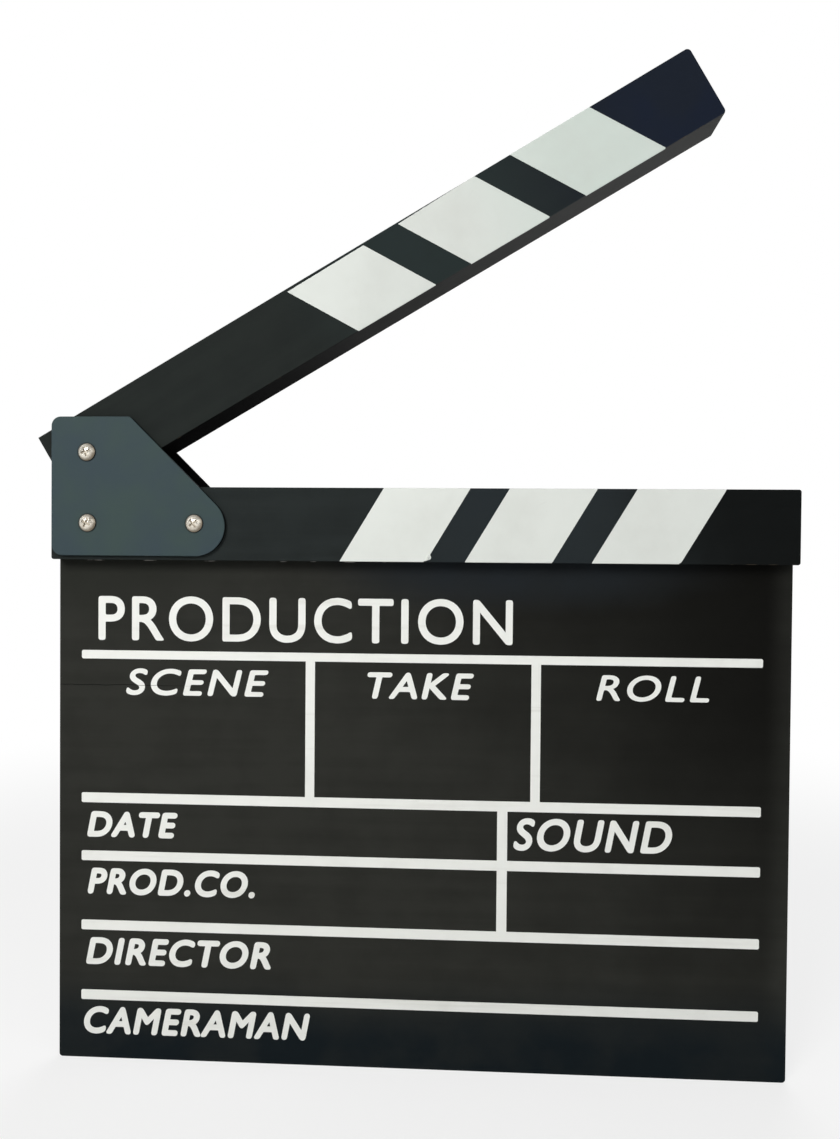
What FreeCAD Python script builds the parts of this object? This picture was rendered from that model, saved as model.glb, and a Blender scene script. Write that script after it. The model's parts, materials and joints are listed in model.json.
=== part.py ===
# Film clapperboard: a thin board hung from a grooved bar, and a stick hinged to the bar's left end.
# Millimetres. +X runs to the right seen from the front, the front faces -Y and +Z is up.
# The origin is the middle of the board's bottom edge. The stick is modelled standing open.
import FreeCAD, Part
import math
import os

Vector = FreeCAD.Vector

# Board and bar
slate_width = 300.0
board_drop = 209.4
board_thickness = 3.0
board_corner = 1.5
board_edge = 0.3
bar_height = 29.6
bar_thickness = 18.0
groove_depth = 10.0
groove_fit = 0.05
groove_end_gap = 0.3
wood_edge = 0.3
bar_corner = 1.0

# Stick
stick_height = 29.6
stick_open_deg = 30.4
stick_stop_deg = 70.0
closing_gap = 0.3
heel_inset = 0.25
heel_reach = 1.95
pivot_drop = 1.3
tip_overhang = 1.9
tip_corner = 1.8

# Hinge plates
plate_length = 71.2
plate_thickness = 2.0
plate_inset = 1.0
plate_rise = 1.6
plate_drop = 1.7
plate_round = 12.2
plate_slope_deg = 45.0
plate_foot_corner = 4.4
plate_heel_corner = 3.8
plate_shoulder_corner = 2.0
plate_edge = 0.35

# Binding posts, their screws and the friction washers
post_diameter = 5.0
post_wall = 1.0
post_fit = 0.05
post_floor = 6.0
post_end_gap = 0.3
thread_fit = 0.05
screw_end_gap = 1.0
head_lip = 1.0
head_height = 2.0
head_rim = 0.5
recess_margin = 1.6
recess_width = 0.9
recess_depth = 0.9
anchor_left_margin = 15.0
anchor_right_margin = 12.4
pivot_recess_deg = 20.0
left_recess_deg = 65.0
right_recess_deg = 38.0
washer_diameter = 14.0
washer_thickness = 0.4
washer_play = 0.05

# White film stripes on bar and stick, from each one's left end
stripe_count = 3
bar_stripe_start = 136.2
bar_stripe_gap = 15.6
bar_stripe_margin = 28.8
stick_stripe_start = 134.9
stick_stripe_gap = 16.2
stick_stripe_margin = 26.9
stripe_slant_deg = 31.0
film_thickness = 0.12

# White ruled lines on the board. The scene, take and roll row takes what the other rows leave
heading_row = 39.6
date_row = 24.4
company_row = 29.2
director_row = 29.5
camera_row = 26.7
rule_left_margin = 9.5
rule_right_margin = 11.3
rule_width = 4.15
heading_rule_width = 3.55
divider_width = 3.85
rule_corner = 0.7
scene_divider_x = -44.4
take_divider_x = 48.2
sound_divider_x = 35.0
ink_thickness = 0.08

# Places that follow from the sizes above
side_left = -slate_width / 2
side_right = slate_width / 2
bar_bottom = board_drop
bar_top = bar_bottom + bar_height
bar_middle = bar_bottom + bar_height / 2
bar_front = -bar_thickness / 2
bar_back = bar_thickness / 2
board_front = -board_thickness / 2
stick_thickness = bar_thickness - 2 * (washer_thickness + washer_play)
stick_front = -stick_thickness / 2
stick_back = stick_thickness / 2
stick_bottom = bar_top + closing_gap
stick_top = stick_bottom + stick_height
stick_left = side_left + heel_inset
stick_right = side_right + tip_overhang
heel_radius = stick_height / 2 - pivot_drop
pivot_x = stick_left + heel_reach + heel_radius
pivot_z = stick_bottom + heel_radius
plate_left = side_left + plate_inset
plate_right = plate_left + plate_length
plate_bottom = bar_bottom + plate_rise
plate_top = stick_top - plate_drop
plate_front = bar_front - plate_thickness
plate_back = bar_back + plate_thickness
anchor_left_x = plate_left + anchor_left_margin
anchor_right_x = plate_right - anchor_right_margin
hole_radius = post_diameter / 2 + post_fit
head_radius = post_diameter / 2 + head_lip
post_bore_radius = post_diameter / 2 - post_wall
post_end = plate_front + post_end_gap
post_bore_end = plate_back - post_floor
stripe_lean = math.tan(math.radians(stripe_slant_deg))
bar_stripe_ends = (side_left + bar_stripe_start, side_right - bar_stripe_margin)
stick_stripe_ends = (stick_left + stick_stripe_start, stick_right - stick_stripe_margin)

# Each fastener: its place on the hinge and how far its recess is turned
fasteners = {
    "pivot": (pivot_x, pivot_z, pivot_recess_deg),
    "anchor_left": (anchor_left_x, bar_middle, left_recess_deg),
    "anchor_right": (anchor_right_x, bar_middle, right_recess_deg),
}

# Each rail's stripes: both ends of their row, the gap, the rail's meeting and far edges and its front
stripe_rows = {
    "bar": (bar_stripe_ends, bar_stripe_gap, bar_top, bar_bottom, bar_front),
    "stick": (stick_stripe_ends, stick_stripe_gap, stick_bottom, stick_top, stick_front),
}

front_axis = Vector(0, -1, 0)
back_axis = Vector(0, 1, 0)


def prism(edges, y_front, y_back):
    """Solid between two depths over a closed outline drawn in the XZ plane at depth 0."""
    face = Part.Face(Part.Wire(edges))
    face.translate(Vector(0, y_front, 0))
    return face.extrude(Vector(0, y_back - y_front, 0))


def polygon(corners):
    """Closed run of straight edges through (x, z) corners."""
    points = [Vector(x, 0, z) for x, z in corners]
    return [Part.makeLine(a, b) for a, b in zip(points, points[1:] + points[:1])]


def box(x0, x1, y0, y1, z0, z1):
    """Box between two corners."""
    return Part.makeBox(x1 - x0, y1 - y0, z1 - z0, Vector(x0, y0, z0))


def cross_edges(solid, corners):
    """Edges of a solid that run along Y through the given (x, z) corners."""
    found = []
    for edge in solid.Edges:
        middle = edge.CenterOfMass
        along_y = abs(edge.Length - abs(edge.Vertexes[0].Y - edge.Vertexes[-1].Y)) < 1e-6
        if along_y and any(math.hypot(middle.x - x, middle.z - z) < 1e-4 for x, z in corners):
            found.append(edge)
    return found


def rim_edges(solid, depths):
    """Edges of a solid that lie flat at the given depths."""
    return [e for e in solid.Edges if any(all(abs(v.Y - y) < 1e-6 for v in e.Vertexes) for y in depths)]


def bore(x, z, radius, y_front, y_back):
    """Cylinder along Y between two depths."""
    return Part.makeCylinder(radius, y_back - y_front, Vector(x, y_front, z), back_axis)


def swing(shape):
    """Turns a shape drawn on the closed stick to where the open stick is."""
    shape.rotate(Vector(pivot_x, 0, pivot_z), front_axis, stick_open_deg)
    return shape


# Board: thin sheet whose top edge is glued into the bar's groove
def make_board():
    top = bar_bottom + groove_depth - groove_end_gap
    board = box(side_left, side_right, board_front, -board_front, 0, top)
    board = board.makeFillet(board_corner, cross_edges(board, [(side_left, 0), (side_right, 0)]))
    return board.makeFillet(board_edge, rim_edges(board, [board_front, -board_front]))


# Bar: straight wooden rail with a groove underneath and two cross holes
def make_bar():
    bar = box(side_left, side_right, bar_front, bar_back, bar_bottom, bar_top)
    ends = [(x, z) for x in (side_left, side_right) for z in (bar_bottom, bar_top)]
    bar = bar.makeFillet(bar_corner, cross_edges(bar, ends))
    bar = bar.makeFillet(wood_edge, rim_edges(bar, [bar_front, bar_back]))
    groove_half = board_thickness / 2 + groove_fit
    groove = box(side_left, side_right, -groove_half, groove_half, bar_bottom, bar_bottom + groove_depth)
    holes = [bore(x, bar_middle, hole_radius, bar_front, bar_back) for x in (anchor_left_x, anchor_right_x)]
    return bar.cut(groove.fuse(holes))


# Stick: the same rail with its lower heel corner rounded about the pivot and then cut flat. The round swings
# clear of the bar, and the flat lies along it when the stick is open as far as it goes
def make_stick():
    stop = math.radians(stick_stop_deg)
    pivot = Vector(pivot_x, 0, pivot_z)
    round_foot = Vector(pivot_x, 0, stick_bottom)
    round_middle = pivot - Vector(math.sin(stop / 2), 0, math.cos(stop / 2)) * heel_radius
    round_end = pivot - Vector(math.sin(stop), 0, math.cos(stop)) * heel_radius
    flat_end = Vector(stick_left, 0, round_end.z + (round_end.x - stick_left) * math.tan(stop))
    corners = [
        round_foot,
        Vector(stick_right, 0, stick_bottom),
        Vector(stick_right, 0, stick_top),
        Vector(stick_left, 0, stick_top),
        flat_end,
        round_end,
    ]
    outline = [Part.makeLine(a, b) for a, b in zip(corners, corners[1:])]
    outline.append(Part.Arc(round_end, round_middle, round_foot).toShape())
    stick = prism(outline, stick_front, stick_back)
    tips = [(stick_right, stick_bottom), (stick_right, stick_top)]
    stick = stick.makeFillet(tip_corner, cross_edges(stick, tips))
    stick = stick.makeFillet(wood_edge, rim_edges(stick, [stick_front, stick_back]))
    return swing(stick.cut(bore(pivot_x, pivot_z, hole_radius, stick_front, stick_back)))


# Hinge plate: square at the heel, sloping down to a round end over the bar
def make_plate(inner, outer):
    slope = math.radians(plate_slope_deg)
    centre = Vector(plate_right - plate_round, 0, plate_bottom + plate_round)
    tangent = centre + Vector(math.sin(slope), 0, math.cos(slope)) * plate_round
    belly = centre + Vector(math.cos(slope / 2), 0, -math.sin(slope / 2)) * plate_round
    shoulder_x = tangent.x - (plate_top - tangent.z) / math.tan(slope)
    foot = Vector(centre.x, 0, plate_bottom)
    low_left = Vector(plate_left, 0, plate_bottom)
    heel = Vector(plate_left, 0, plate_top)
    shoulder = Vector(shoulder_x, 0, plate_top)
    outline = [
        Part.Arc(foot, belly, tangent).toShape(),
        Part.makeLine(tangent, shoulder),
        Part.makeLine(shoulder, heel),
        Part.makeLine(heel, low_left),
        Part.makeLine(low_left, foot),
    ]
    plate = prism(outline, min(inner, outer), max(inner, outer))
    rounds = [(low_left, plate_foot_corner), (heel, plate_heel_corner), (shoulder, plate_shoulder_corner)]
    for corner, radius in rounds:
        plate = plate.makeFillet(radius, cross_edges(plate, [(corner.x, corner.z)]))
    plate = plate.makeFillet(plate_edge, rim_edges(plate, [outer]))
    holes = [bore(x, z, hole_radius, min(inner, outer), max(inner, outer)) for x, z, _ in fasteners.values()]
    return plate.cut(holes[0].fuse(holes[1:]))


# Domed head standing on the XY plane, with straight slots across its crown
def make_head(slot_angles):
    crown = head_height - head_rim
    sphere_radius = (head_radius ** 2 + crown ** 2) / (2 * crown)
    half_angle = math.asin(head_radius / sphere_radius) / 2
    arc_reach = sphere_radius * math.sin(half_angle)
    arc_drop = sphere_radius * (1 - math.cos(half_angle))
    arc_middle = Vector(arc_reach, 0, head_height - arc_drop)
    foot = Vector(head_radius, 0, 0)
    shoulder = Vector(head_radius, 0, head_rim)
    apex = Vector(0, 0, head_height)
    profile = [
        Part.makeLine(Vector(0, 0, 0), foot),
        Part.makeLine(foot, shoulder),
        Part.Arc(shoulder, arc_middle, apex).toShape(),
        Part.makeLine(apex, Vector(0, 0, 0)),
    ]
    head = Part.Face(Part.Wire(profile)).revolve(Vector(0, 0, 0), Vector(0, 0, 1), 360)
    reach = head_radius - recess_margin
    for angle in slot_angles:
        half_width = recess_width / 2
        slot = box(-reach, reach, -half_width, half_width, head_height - recess_depth, head_height)
        slot.rotate(Vector(0, 0, 0), Vector(0, 0, 1), angle)
        head = head.cut(slot)
    return head


# Screw: domed cross-recess head on the front plate and a shank inside the post
def make_screw(x, z, turn_deg):
    head = make_head([turn_deg, turn_deg + 90])
    head.rotate(Vector(0, 0, 0), Vector(1, 0, 0), 90)
    head.translate(Vector(x, plate_front, z))
    shank = bore(x, z, post_bore_radius - thread_fit, plate_front, post_bore_end - screw_end_gap)
    return head.fuse(shank).removeSplitter()


# Post: smooth barrel through the hinge, bored for the screw, with a slotted head on the rear plate
def make_post(x, z, turn_deg):
    head = make_head([turn_deg])
    head.rotate(Vector(0, 0, 0), Vector(1, 0, 0), -90)
    head.translate(Vector(x, plate_back, z))
    barrel = bore(x, z, post_diameter / 2, post_end, plate_back)
    barrel = barrel.cut(bore(x, z, post_bore_radius, post_end, post_bore_end))
    return head.fuse(barrel).removeSplitter()


# Washer: thin ring on the pivot, flat against a hinge plate
def make_washer(y_front):
    ring = bore(pivot_x, pivot_z, washer_diameter / 2, y_front, y_front + washer_thickness)
    return ring.cut(bore(pivot_x, pivot_z, hole_radius, y_front, y_front + washer_thickness))


# Film stripe: slanted strip over the flat of a rail's front, leaning away from the line where the rails meet
def make_stripe(index, ends, gap, meeting_z, far_z, front):
    near_z = meeting_z + math.copysign(wood_edge, far_z - meeting_z)
    end_z = far_z - math.copysign(wood_edge, far_z - meeting_z)
    pitch = (ends[1] - ends[0] + gap) / stripe_count
    width = pitch - gap
    start = ends[0] + index * pitch
    near_x = start - stripe_lean * abs(near_z - meeting_z)
    end_x = start - stripe_lean * abs(end_z - meeting_z)
    near_side = [(near_x, near_z), (near_x + width, near_z)]
    far_side = [(end_x + width, end_z), (end_x, end_z)]
    return prism(polygon(near_side + far_side), front - film_thickness, front)


# Ruled lines: five cross lines and three dividers, printed as a thin layer on the board
def make_rules():
    camera = camera_row
    director = camera + director_row
    company = director + company_row
    date = company + date_row
    heading = bar_bottom - heading_row
    left = side_left + rule_left_margin
    right = side_right - rule_right_margin
    ink_front = board_front - ink_thickness
    lines = []
    rules = [(heading, heading_rule_width)] + [(z, rule_width) for z in (date, company, director, camera)]
    for height, width in rules:
        low = height - width / 2
        high = height + width / 2
        line = box(left, right, ink_front, board_front, low, high)
        ends = [(x, z) for x in (left, right) for z in (low, high)]
        lines.append(line.makeFillet(rule_corner, cross_edges(line, ends)))
    dividers = [
        (scene_divider_x, divider_width, heading, date),
        (take_divider_x, divider_width, heading, date),
        (sound_divider_x, rule_width, date, director),
    ]
    for x, width, high, low in dividers:
        lines.append(box(x - width / 2, x + width / 2, ink_front, board_front, low, high))
    return lines[0].fuse(lines[1:]).removeSplitter()


def main():
    os.makedirs("parts", exist_ok=True)
    nodes = {
        "slate_board": make_board(),
        "fixed_bar": make_bar(),
        "clap_stick": make_stick(),
        "front_hinge_plate": make_plate(bar_front, plate_front),
        "rear_hinge_plate": make_plate(bar_back, plate_back),
        "front_pivot_washer": make_washer(bar_front),
        "rear_pivot_washer": make_washer(bar_back - washer_thickness),
        "printed_rules": make_rules(),
    }
    names = {"pivot": "pivot_{}", "anchor_left": "anchor_{}_left", "anchor_right": "anchor_{}_right"}
    for key, place in fasteners.items():
        nodes[names[key].format("screw")] = make_screw(*place)
        nodes[names[key].format("post")] = make_post(*place)
    for index in range(stripe_count):
        nodes[f"bar_stripe_{index + 1}"] = make_stripe(index, *stripe_rows["bar"])
        nodes[f"stick_stripe_{index + 1}"] = swing(make_stripe(index, *stripe_rows["stick"]))
    for name, shape in nodes.items():
        shape.exportStep(f"parts/{name}.step")
        print(f"{name}: {len(shape.Solids)} solid(s), {shape.Volume:.1f} mm3, valid {shape.isValid()}")


main()
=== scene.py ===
"""Looks of a wooden clapperboard: painted wood, printed board, white film, hinge and studio."""

import json
import logging
import math
from collections.abc import Callable
from dataclasses import dataclass
from enum import Enum

import bpy
from mathutils import Euler, Matrix, Vector

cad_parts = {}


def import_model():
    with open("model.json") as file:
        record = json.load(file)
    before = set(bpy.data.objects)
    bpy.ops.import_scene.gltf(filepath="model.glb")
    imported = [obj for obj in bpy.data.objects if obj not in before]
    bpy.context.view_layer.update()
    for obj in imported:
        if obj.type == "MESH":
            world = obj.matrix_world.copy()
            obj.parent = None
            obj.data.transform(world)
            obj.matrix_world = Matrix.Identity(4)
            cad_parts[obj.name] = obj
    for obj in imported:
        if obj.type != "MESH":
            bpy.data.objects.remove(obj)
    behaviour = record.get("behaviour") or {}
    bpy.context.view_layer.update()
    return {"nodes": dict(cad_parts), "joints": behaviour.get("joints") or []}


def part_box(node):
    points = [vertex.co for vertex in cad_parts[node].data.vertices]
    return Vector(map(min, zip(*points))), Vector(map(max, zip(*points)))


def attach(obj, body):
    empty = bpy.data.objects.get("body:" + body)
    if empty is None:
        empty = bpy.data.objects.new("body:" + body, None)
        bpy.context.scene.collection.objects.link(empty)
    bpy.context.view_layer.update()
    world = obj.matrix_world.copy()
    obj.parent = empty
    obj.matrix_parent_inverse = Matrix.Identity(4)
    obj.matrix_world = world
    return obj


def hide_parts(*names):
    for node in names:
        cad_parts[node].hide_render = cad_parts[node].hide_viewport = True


LOG = logging.getLogger("clapperboard")

# Lengths in metres: a millimetre, a gap within which two points are one, and a reach past any piece
MM = 0.001
WELD = 0.001 * MM
EVERYWHERE = 9.0

# Features to the metre of the slow noise that wandering edges follow
DRIFT_SCALE = 17.0
WHITE = (1.0, 1.0, 1.0, 1.0)

# Direction into the rails from the front
INTO = Vector((0.0, 1.0, 0.0))

# Kinds of value: a ramp is two levels and the two values that they are eased onto,
# and a feed is whatever can go into a node's socket
Pair = tuple[float, float]
Triple = tuple[float, float, float]
Colour = tuple[float, float, float, float]
Ramp = tuple[float, float, float, float]
Names = tuple[str, ...]
Piece = bpy.types.Object
Value = bpy.types.NodeSocket
Feed = float | Triple | Colour | Value


# Working on meshes


def clear_selection() -> None:
    """Goes back to object mode with nothing selected."""
    active = bpy.context.view_layer.objects.active
    if active is not None and active.mode != "OBJECT":
        bpy.ops.object.mode_set(mode="OBJECT")
    bpy.ops.object.select_all(action="DESELECT")


def take_up(piece: Piece) -> None:
    """Makes a piece the only selected and active object.

    Args:
        piece: The piece that is worked on next.
    """
    clear_selection()
    piece.select_set(True)
    bpy.context.view_layer.objects.active = piece


def settle(piece: Piece) -> None:
    """Moves a piece's place, turn and scale into its mesh."""
    take_up(piece)
    bpy.ops.object.transform_apply(location=True, rotation=True, scale=True)


def dress(piece: Piece, material: bpy.types.Material) -> None:
    """Gives a piece one material all over.

    Args:
        piece: The piece.
        material: Its material.
    """
    if not piece.material_slots:
        piece.data.materials.append(material)
    for slot in piece.material_slots:
        slot.material = material


def select_all() -> None:
    """Selects the whole of the mesh that is being edited."""
    bpy.ops.mesh.select_all(action="SELECT")


def edit(piece: Piece) -> None:
    """Opens a piece's mesh for editing, with all of it selected.

    Args:
        piece: The piece whose mesh it is.
    """
    take_up(piece)
    bpy.ops.object.mode_set(mode="EDIT")
    select_all()


def stop_editing() -> None:
    """Closes the mesh that is being edited."""
    bpy.ops.object.mode_set(mode="OBJECT")


def points(piece: Piece) -> list[Vector]:
    """Copies the places of the points of a mesh that is being edited.

    Args:
        piece: The piece whose mesh it is.

    Returns:
        The places, in the order of the points.
    """
    stop_editing()
    places = [vertex.co.copy() for vertex in piece.data.vertices]
    bpy.ops.object.mode_set(mode="EDIT")
    return places


class MeshPart(Enum):
    """Parts of a mesh, by their select mode, with the mesh's own name for them."""

    VERT = "vertices"
    EDGE = "edges"
    FACE = "polygons"


def pick(piece: Piece, kind: MeshPart, wanted: Callable[..., bool]) -> int:
    """Selects some parts of a mesh that is being edited, and nothing else.

    Args:
        piece: The piece whose mesh it is.
        kind: Which kind of part is picked.
        wanted: Test that says whether a part is picked.

    Returns:
        How many parts were picked.
    """
    bpy.ops.mesh.select_mode(type=kind.name)
    bpy.ops.mesh.select_all(action="DESELECT")
    stop_editing()
    picked = 0
    for part in getattr(piece.data, kind.value):
        part.select = wanted(part)
        picked += part.select
    bpy.ops.object.mode_set(mode="EDIT")
    return picked


@dataclass(frozen=True)
class Block:
    """A square-edged piece in its own turned frame, with X along its length.

    Attributes:
        centre: Middle of the piece, in metres.
        half: Half of its length, thickness and height, in metres.
        turn: Its turn about the Y axis, in radians.
    """

    centre: Triple
    half: Triple
    turn: float = 0.0

    @classmethod
    def of_node(cls, node: str) -> "Block":
        """Measures a CAD node that lies square to the frame."""
        low, high = (Vector(corner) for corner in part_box(node))
        return cls(tuple((low + high) / 2), tuple((high - low) / 2))


# Node graphs


class Graph:
    """Adds nodes to one node tree and wires them."""

    def __init__(self, tree: bpy.types.NodeTree) -> None:
        """Keeps the tree that the nodes go into."""
        self.tree = tree

    def feed(self, socket: Value, value: Feed) -> None:
        """Links an output to a socket, or sets a plain value on it.

        Args:
            socket: The socket that takes the value.
            value: Output of another node, or a plain value.
        """
        if isinstance(value, bpy.types.NodeSocket):
            self.tree.links.new(value, socket)
        else:
            socket.default_value = value

    def put(
        self, kind: str, feeds: dict[str | int, Feed] | None = None, **settings: object
    ) -> bpy.types.Node:
        """Adds one node.

        Args:
            kind: Blender's name of the node type.
            feeds: What goes into its sockets, by name or number.
            **settings: Properties of the node.

        Returns:
            The new node.
        """
        node = self.tree.nodes.new(kind)
        for name, setting in settings.items():
            setattr(node, name, setting)
        for name, value in (feeds or {}).items():
            self.feed(node.inputs[name], value)
        return node

    def math(self, operation: str, *values: Feed, clamp: bool = False) -> Value:
        """Works out one number from up to three others."""
        node = self.put("ShaderNodeMath", dict(enumerate(values)), operation=operation, use_clamp=clamp)
        return node.outputs[0]

    def less(self, first: Feed, second: Feed) -> Value:
        """Takes one number from another."""
        return self.math("SUBTRACT", first, second)

    def times(self, first: Feed, second: Feed, clamp: bool = False) -> Value:
        """Multiplies two numbers."""
        return self.math("MULTIPLY", first, second, clamp=clamp)

    def scaled(self, value: Feed, factor: Feed, offset: Feed) -> Value:
        """Multiplies a number by another and adds a third."""
        return self.math("MULTIPLY_ADD", value, factor, offset)

    def larger(self, first: Feed, second: Feed, clamp: bool = False) -> Value:
        """Takes the larger of two numbers."""
        return self.math("MAXIMUM", first, second, clamp=clamp)

    def strongest(self, masks: tuple[Value, ...], shares: tuple[float, ...]) -> Value:
        """Takes the strongest of several masks.

        Args:
            masks: The masks.
            shares: What each mask is multiplied by.

        Returns:
            The strongest mask, times its share.
        """
        strongest, *others = (self.times(mask, share) for mask, share in zip(masks, shares))
        for level in others:
            strongest = self.larger(strongest, level)
        return strongest

    def vector(self, operation: str, *values: Feed) -> Value:
        """Works out one vector from up to three others."""
        return self.put("ShaderNodeVectorMath", dict(enumerate(values)), operation=operation).outputs[0]

    def gauge(self, operation: str, *values: Feed) -> Value:
        """Works out one number from up to two vectors, such as their distance."""
        node = self.put("ShaderNodeVectorMath", dict(enumerate(values)), operation=operation)
        return node.outputs["Value"]

    def split(self, vector: Feed) -> bpy.types.NodeOutputs:
        """Gives the X, Y and Z of a vector."""
        return self.put("ShaderNodeSeparateXYZ", {0: vector}).outputs

    def noise(self, position: Feed, scale: Feed, octaves: float = 4.0, rough: float = 0.55) -> Value:
        """Gives soft noise from 0 to 1.

        Args:
            position: Where it is read.
            scale: Features to the metre.
            octaves: Octaves of detail.
            rough: Strength of the finer octaves.

        Returns:
            The noise value.
        """
        feeds = {"Vector": position, "Scale": scale, "Detail": octaves, "Roughness": rough}
        return self.put("ShaderNodeTexNoise", feeds, noise_dimensions="3D").outputs["Fac"]

    def drift(self, position: Feed) -> Value:
        """Gives slow noise about 0."""
        return self.less(self.noise(position, DRIFT_SCALE), 0.5)

    def ease(self, value: Feed, low: Feed, high: Feed, start: float = 0.0, end: float = 1.0) -> Value:
        """Maps a value smoothly from the range low to high onto start to end."""
        feeds = {0: value, 1: low, 2: high, 3: start, 4: end}
        return self.put("ShaderNodeMapRange", feeds, interpolation_type="SMOOTHSTEP").outputs[0]

    def fade(self, value: Feed, low: Feed, high: Feed) -> Value:
        """Falls smoothly from 1 at the low value to 0 at the high one."""
        return self.ease(value, low, high, 1.0, 0.0)

    def blend(self, share: Feed, first: Feed, second: Feed) -> Value:
        """Mixes two colours."""
        return self.put("ShaderNodeMix", {0: share, 6: first, 7: second}, data_type="RGBA").outputs[2]

    def bump(self, height: Feed, strength: float, distance: float) -> Value:
        """Turns a height into a bumped normal."""
        feeds = {"Height": height, "Strength": strength, "Distance": distance}
        return self.put("ShaderNodeBump", feeds).outputs["Normal"]

    def spot(self) -> Value:
        """Reads the position in the object's frame, in metres."""
        return self.put("ShaderNodeTexCoord").outputs["Object"]

    def place(self, block: Block) -> Value:
        """Reads the position in a block's own frame, from its middle, in metres."""
        feeds = {"Vector": self.spot(), "Location": block.centre, "Rotation": (0.0, block.turn, 0.0)}
        return self.put("ShaderNodeMapping", feeds, vector_type="TEXTURE").outputs["Vector"]

    def effect(self, effect: "Effect", **feeds: Feed) -> bpy.types.NodeOutputs:
        """Places a shared effect with its own values."""
        return self.put("ShaderNodeGroup", feeds, node_tree=bpy.data.node_groups[effect.value]).outputs


@dataclass(frozen=True)
class Clouds:
    """Soft noise, eased from one of its levels to another.

    Attributes:
        scale: Features to the metre.
        octaves: Octaves of detail.
        low: Level up to which it gives its start value.
        high: Level from which it gives its end value.
        start: Value at the low level.
        end: Value at the high level.
        rough: Strength of the finer octaves.
    """

    scale: Feed
    octaves: float
    low: Feed
    high: Feed
    start: float = 0.0
    end: float = 1.0
    rough: float = 0.55

    def over(self, graph: Graph, position: Feed) -> Value:
        """Reads the clouds at a position."""
        noise = graph.noise(position, self.scale, self.octaves, self.rough)
        return graph.ease(noise, self.low, self.high, self.start, self.end)


# Surface effects


class Effect(Enum):
    """Surface effects that more than one finish uses, each one shared node group."""

    WEAR = "worn edge"
    FIBRES = "wood fibres"
    SPECKS = "specks"
    SCUFFS = "fine scuffs"
    HAIRLINE = "hairline"

    def begin(
        self, vectors: Names, numbers: Names, results: Names
    ) -> tuple[Graph, bpy.types.NodeOutputs, bpy.types.NodeInputs]:
        """Starts this effect's node group.

        Args:
            vectors: Names of the vectors that come in.
            numbers: Names of the numbers that come in.
            results: Names of the numbers that it gives.

        Returns:
            Its graph, the values that come in, and the sockets that its results go to.
        """
        tree = bpy.data.node_groups.new(self.value, "ShaderNodeTree")
        sockets = [("INPUT", "NodeSocketVector", name) for name in vectors]
        sockets += [("INPUT", "NodeSocketFloat", name) for name in numbers]
        sockets += [("OUTPUT", "NodeSocketFloat", name) for name in results]
        for way, kind, name in sockets:
            tree.interface.new_socket(name=name, in_out=way, socket_type=kind)
        graph = Graph(tree)
        return graph, graph.put("NodeGroupInput").outputs, graph.put("NodeGroupOutput").inputs


@dataclass(frozen=True)
class Wear:
    """A coat rubbed through in broken patches along a block's edges.

    Attributes:
        reach: How far it reaches from an edge, in metres.
        scale: Patches to the metre.
    """

    reach: float
    scale: float

    @staticmethod
    def make() -> None:
        """Makes the shared effect, from how far a point lies from the nearest edge."""
        graph, given, result = Effect.WEAR.begin(("Position", "Half"), ("Reach", "Scale"), ("Mask",))
        depth = graph.vector("SUBTRACT", given["Half"], graph.vector("ABSOLUTE", given["Position"]))
        along, across, up = graph.split(depth)
        # The middle one of the three depths is the distance to the nearest edge
        nearer = graph.math("MINIMUM", along, across)
        farther = graph.larger(along, across)
        edge = graph.larger(nearer, graph.math("MINIMUM", farther, up))
        patches = Clouds(given["Scale"], octaves=5.0, low=0.5, high=0.78, rough=0.65)
        reach = graph.scaled(given["Reach"], patches.over(graph, given["Position"]), WELD)
        graph.feed(result["Mask"], graph.fade(edge, 0.0, reach))

    def mask(self, graph: Graph, position: Feed, block: Block) -> Value:
        """Gives 1 where the coat is gone."""
        feeds = {"Position": position, "Half": block.half, "Reach": self.reach, "Scale": self.scale}
        return graph.effect(Effect.WEAR, **feeds)["Mask"]


@dataclass(frozen=True)
class Fibres:
    """Wood fibres that show through paint, film or ink.

    Attributes:
        stretch: Fibres to the metre along, through and across the grain.
    """

    stretch: Triple

    @staticmethod
    def make() -> None:
        """Makes the shared effect, which measures positions in fibres."""
        pore_height = 0.6
        graph, given, result = Effect.FIBRES.begin(("Position", "Stretch"), (), ("Height", "Tone"))
        drawn = graph.vector("MULTIPLY", given["Position"], given["Stretch"])
        pores = Clouds(scale=3.1, octaves=3.0, low=0.28, high=0.44).over(graph, drawn)
        strands = graph.noise(drawn, scale=1.0, octaves=5.0, rough=0.62)
        graph.feed(result["Height"], graph.scaled(pores, pore_height, strands))
        graph.feed(result["Tone"], graph.noise(drawn, scale=0.35))

    def lay(self, graph: Graph, position: Feed) -> bpy.types.NodeOutputs:
        """Gives the fibres' Height and Tone."""
        return graph.effect(Effect.FIBRES, Position=position, Stretch=self.stretch)


@dataclass(frozen=True)
class Specks:
    """Scattered small specks, such as dust or pinholes.

    Attributes:
        scale: Specks to the metre.
        share: How many more there are than the fewest.
    """

    scale: float
    share: float = 0.0

    @staticmethod
    def make() -> None:
        """Makes the shared effect, from the peaks of a fine noise."""
        fewest_level = 0.74
        soft_edge = 0.06
        graph, given, result = Effect.SPECKS.begin(("Position",), ("Scale", "Share"), ("Mask",))
        cut = graph.less(fewest_level, given["Share"])
        full = graph.math("ADD", cut, soft_edge)
        grains = Clouds(given["Scale"], octaves=2.0, low=cut, high=full, rough=0.5)
        graph.feed(result["Mask"], grains.over(graph, given["Position"]))

    def mask(self, graph: Graph, position: Feed) -> Value:
        """Gives 1 in a speck and 0 beside it."""
        return graph.effect(Effect.SPECKS, Position=position, Scale=self.scale, Share=self.share)["Mask"]


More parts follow.
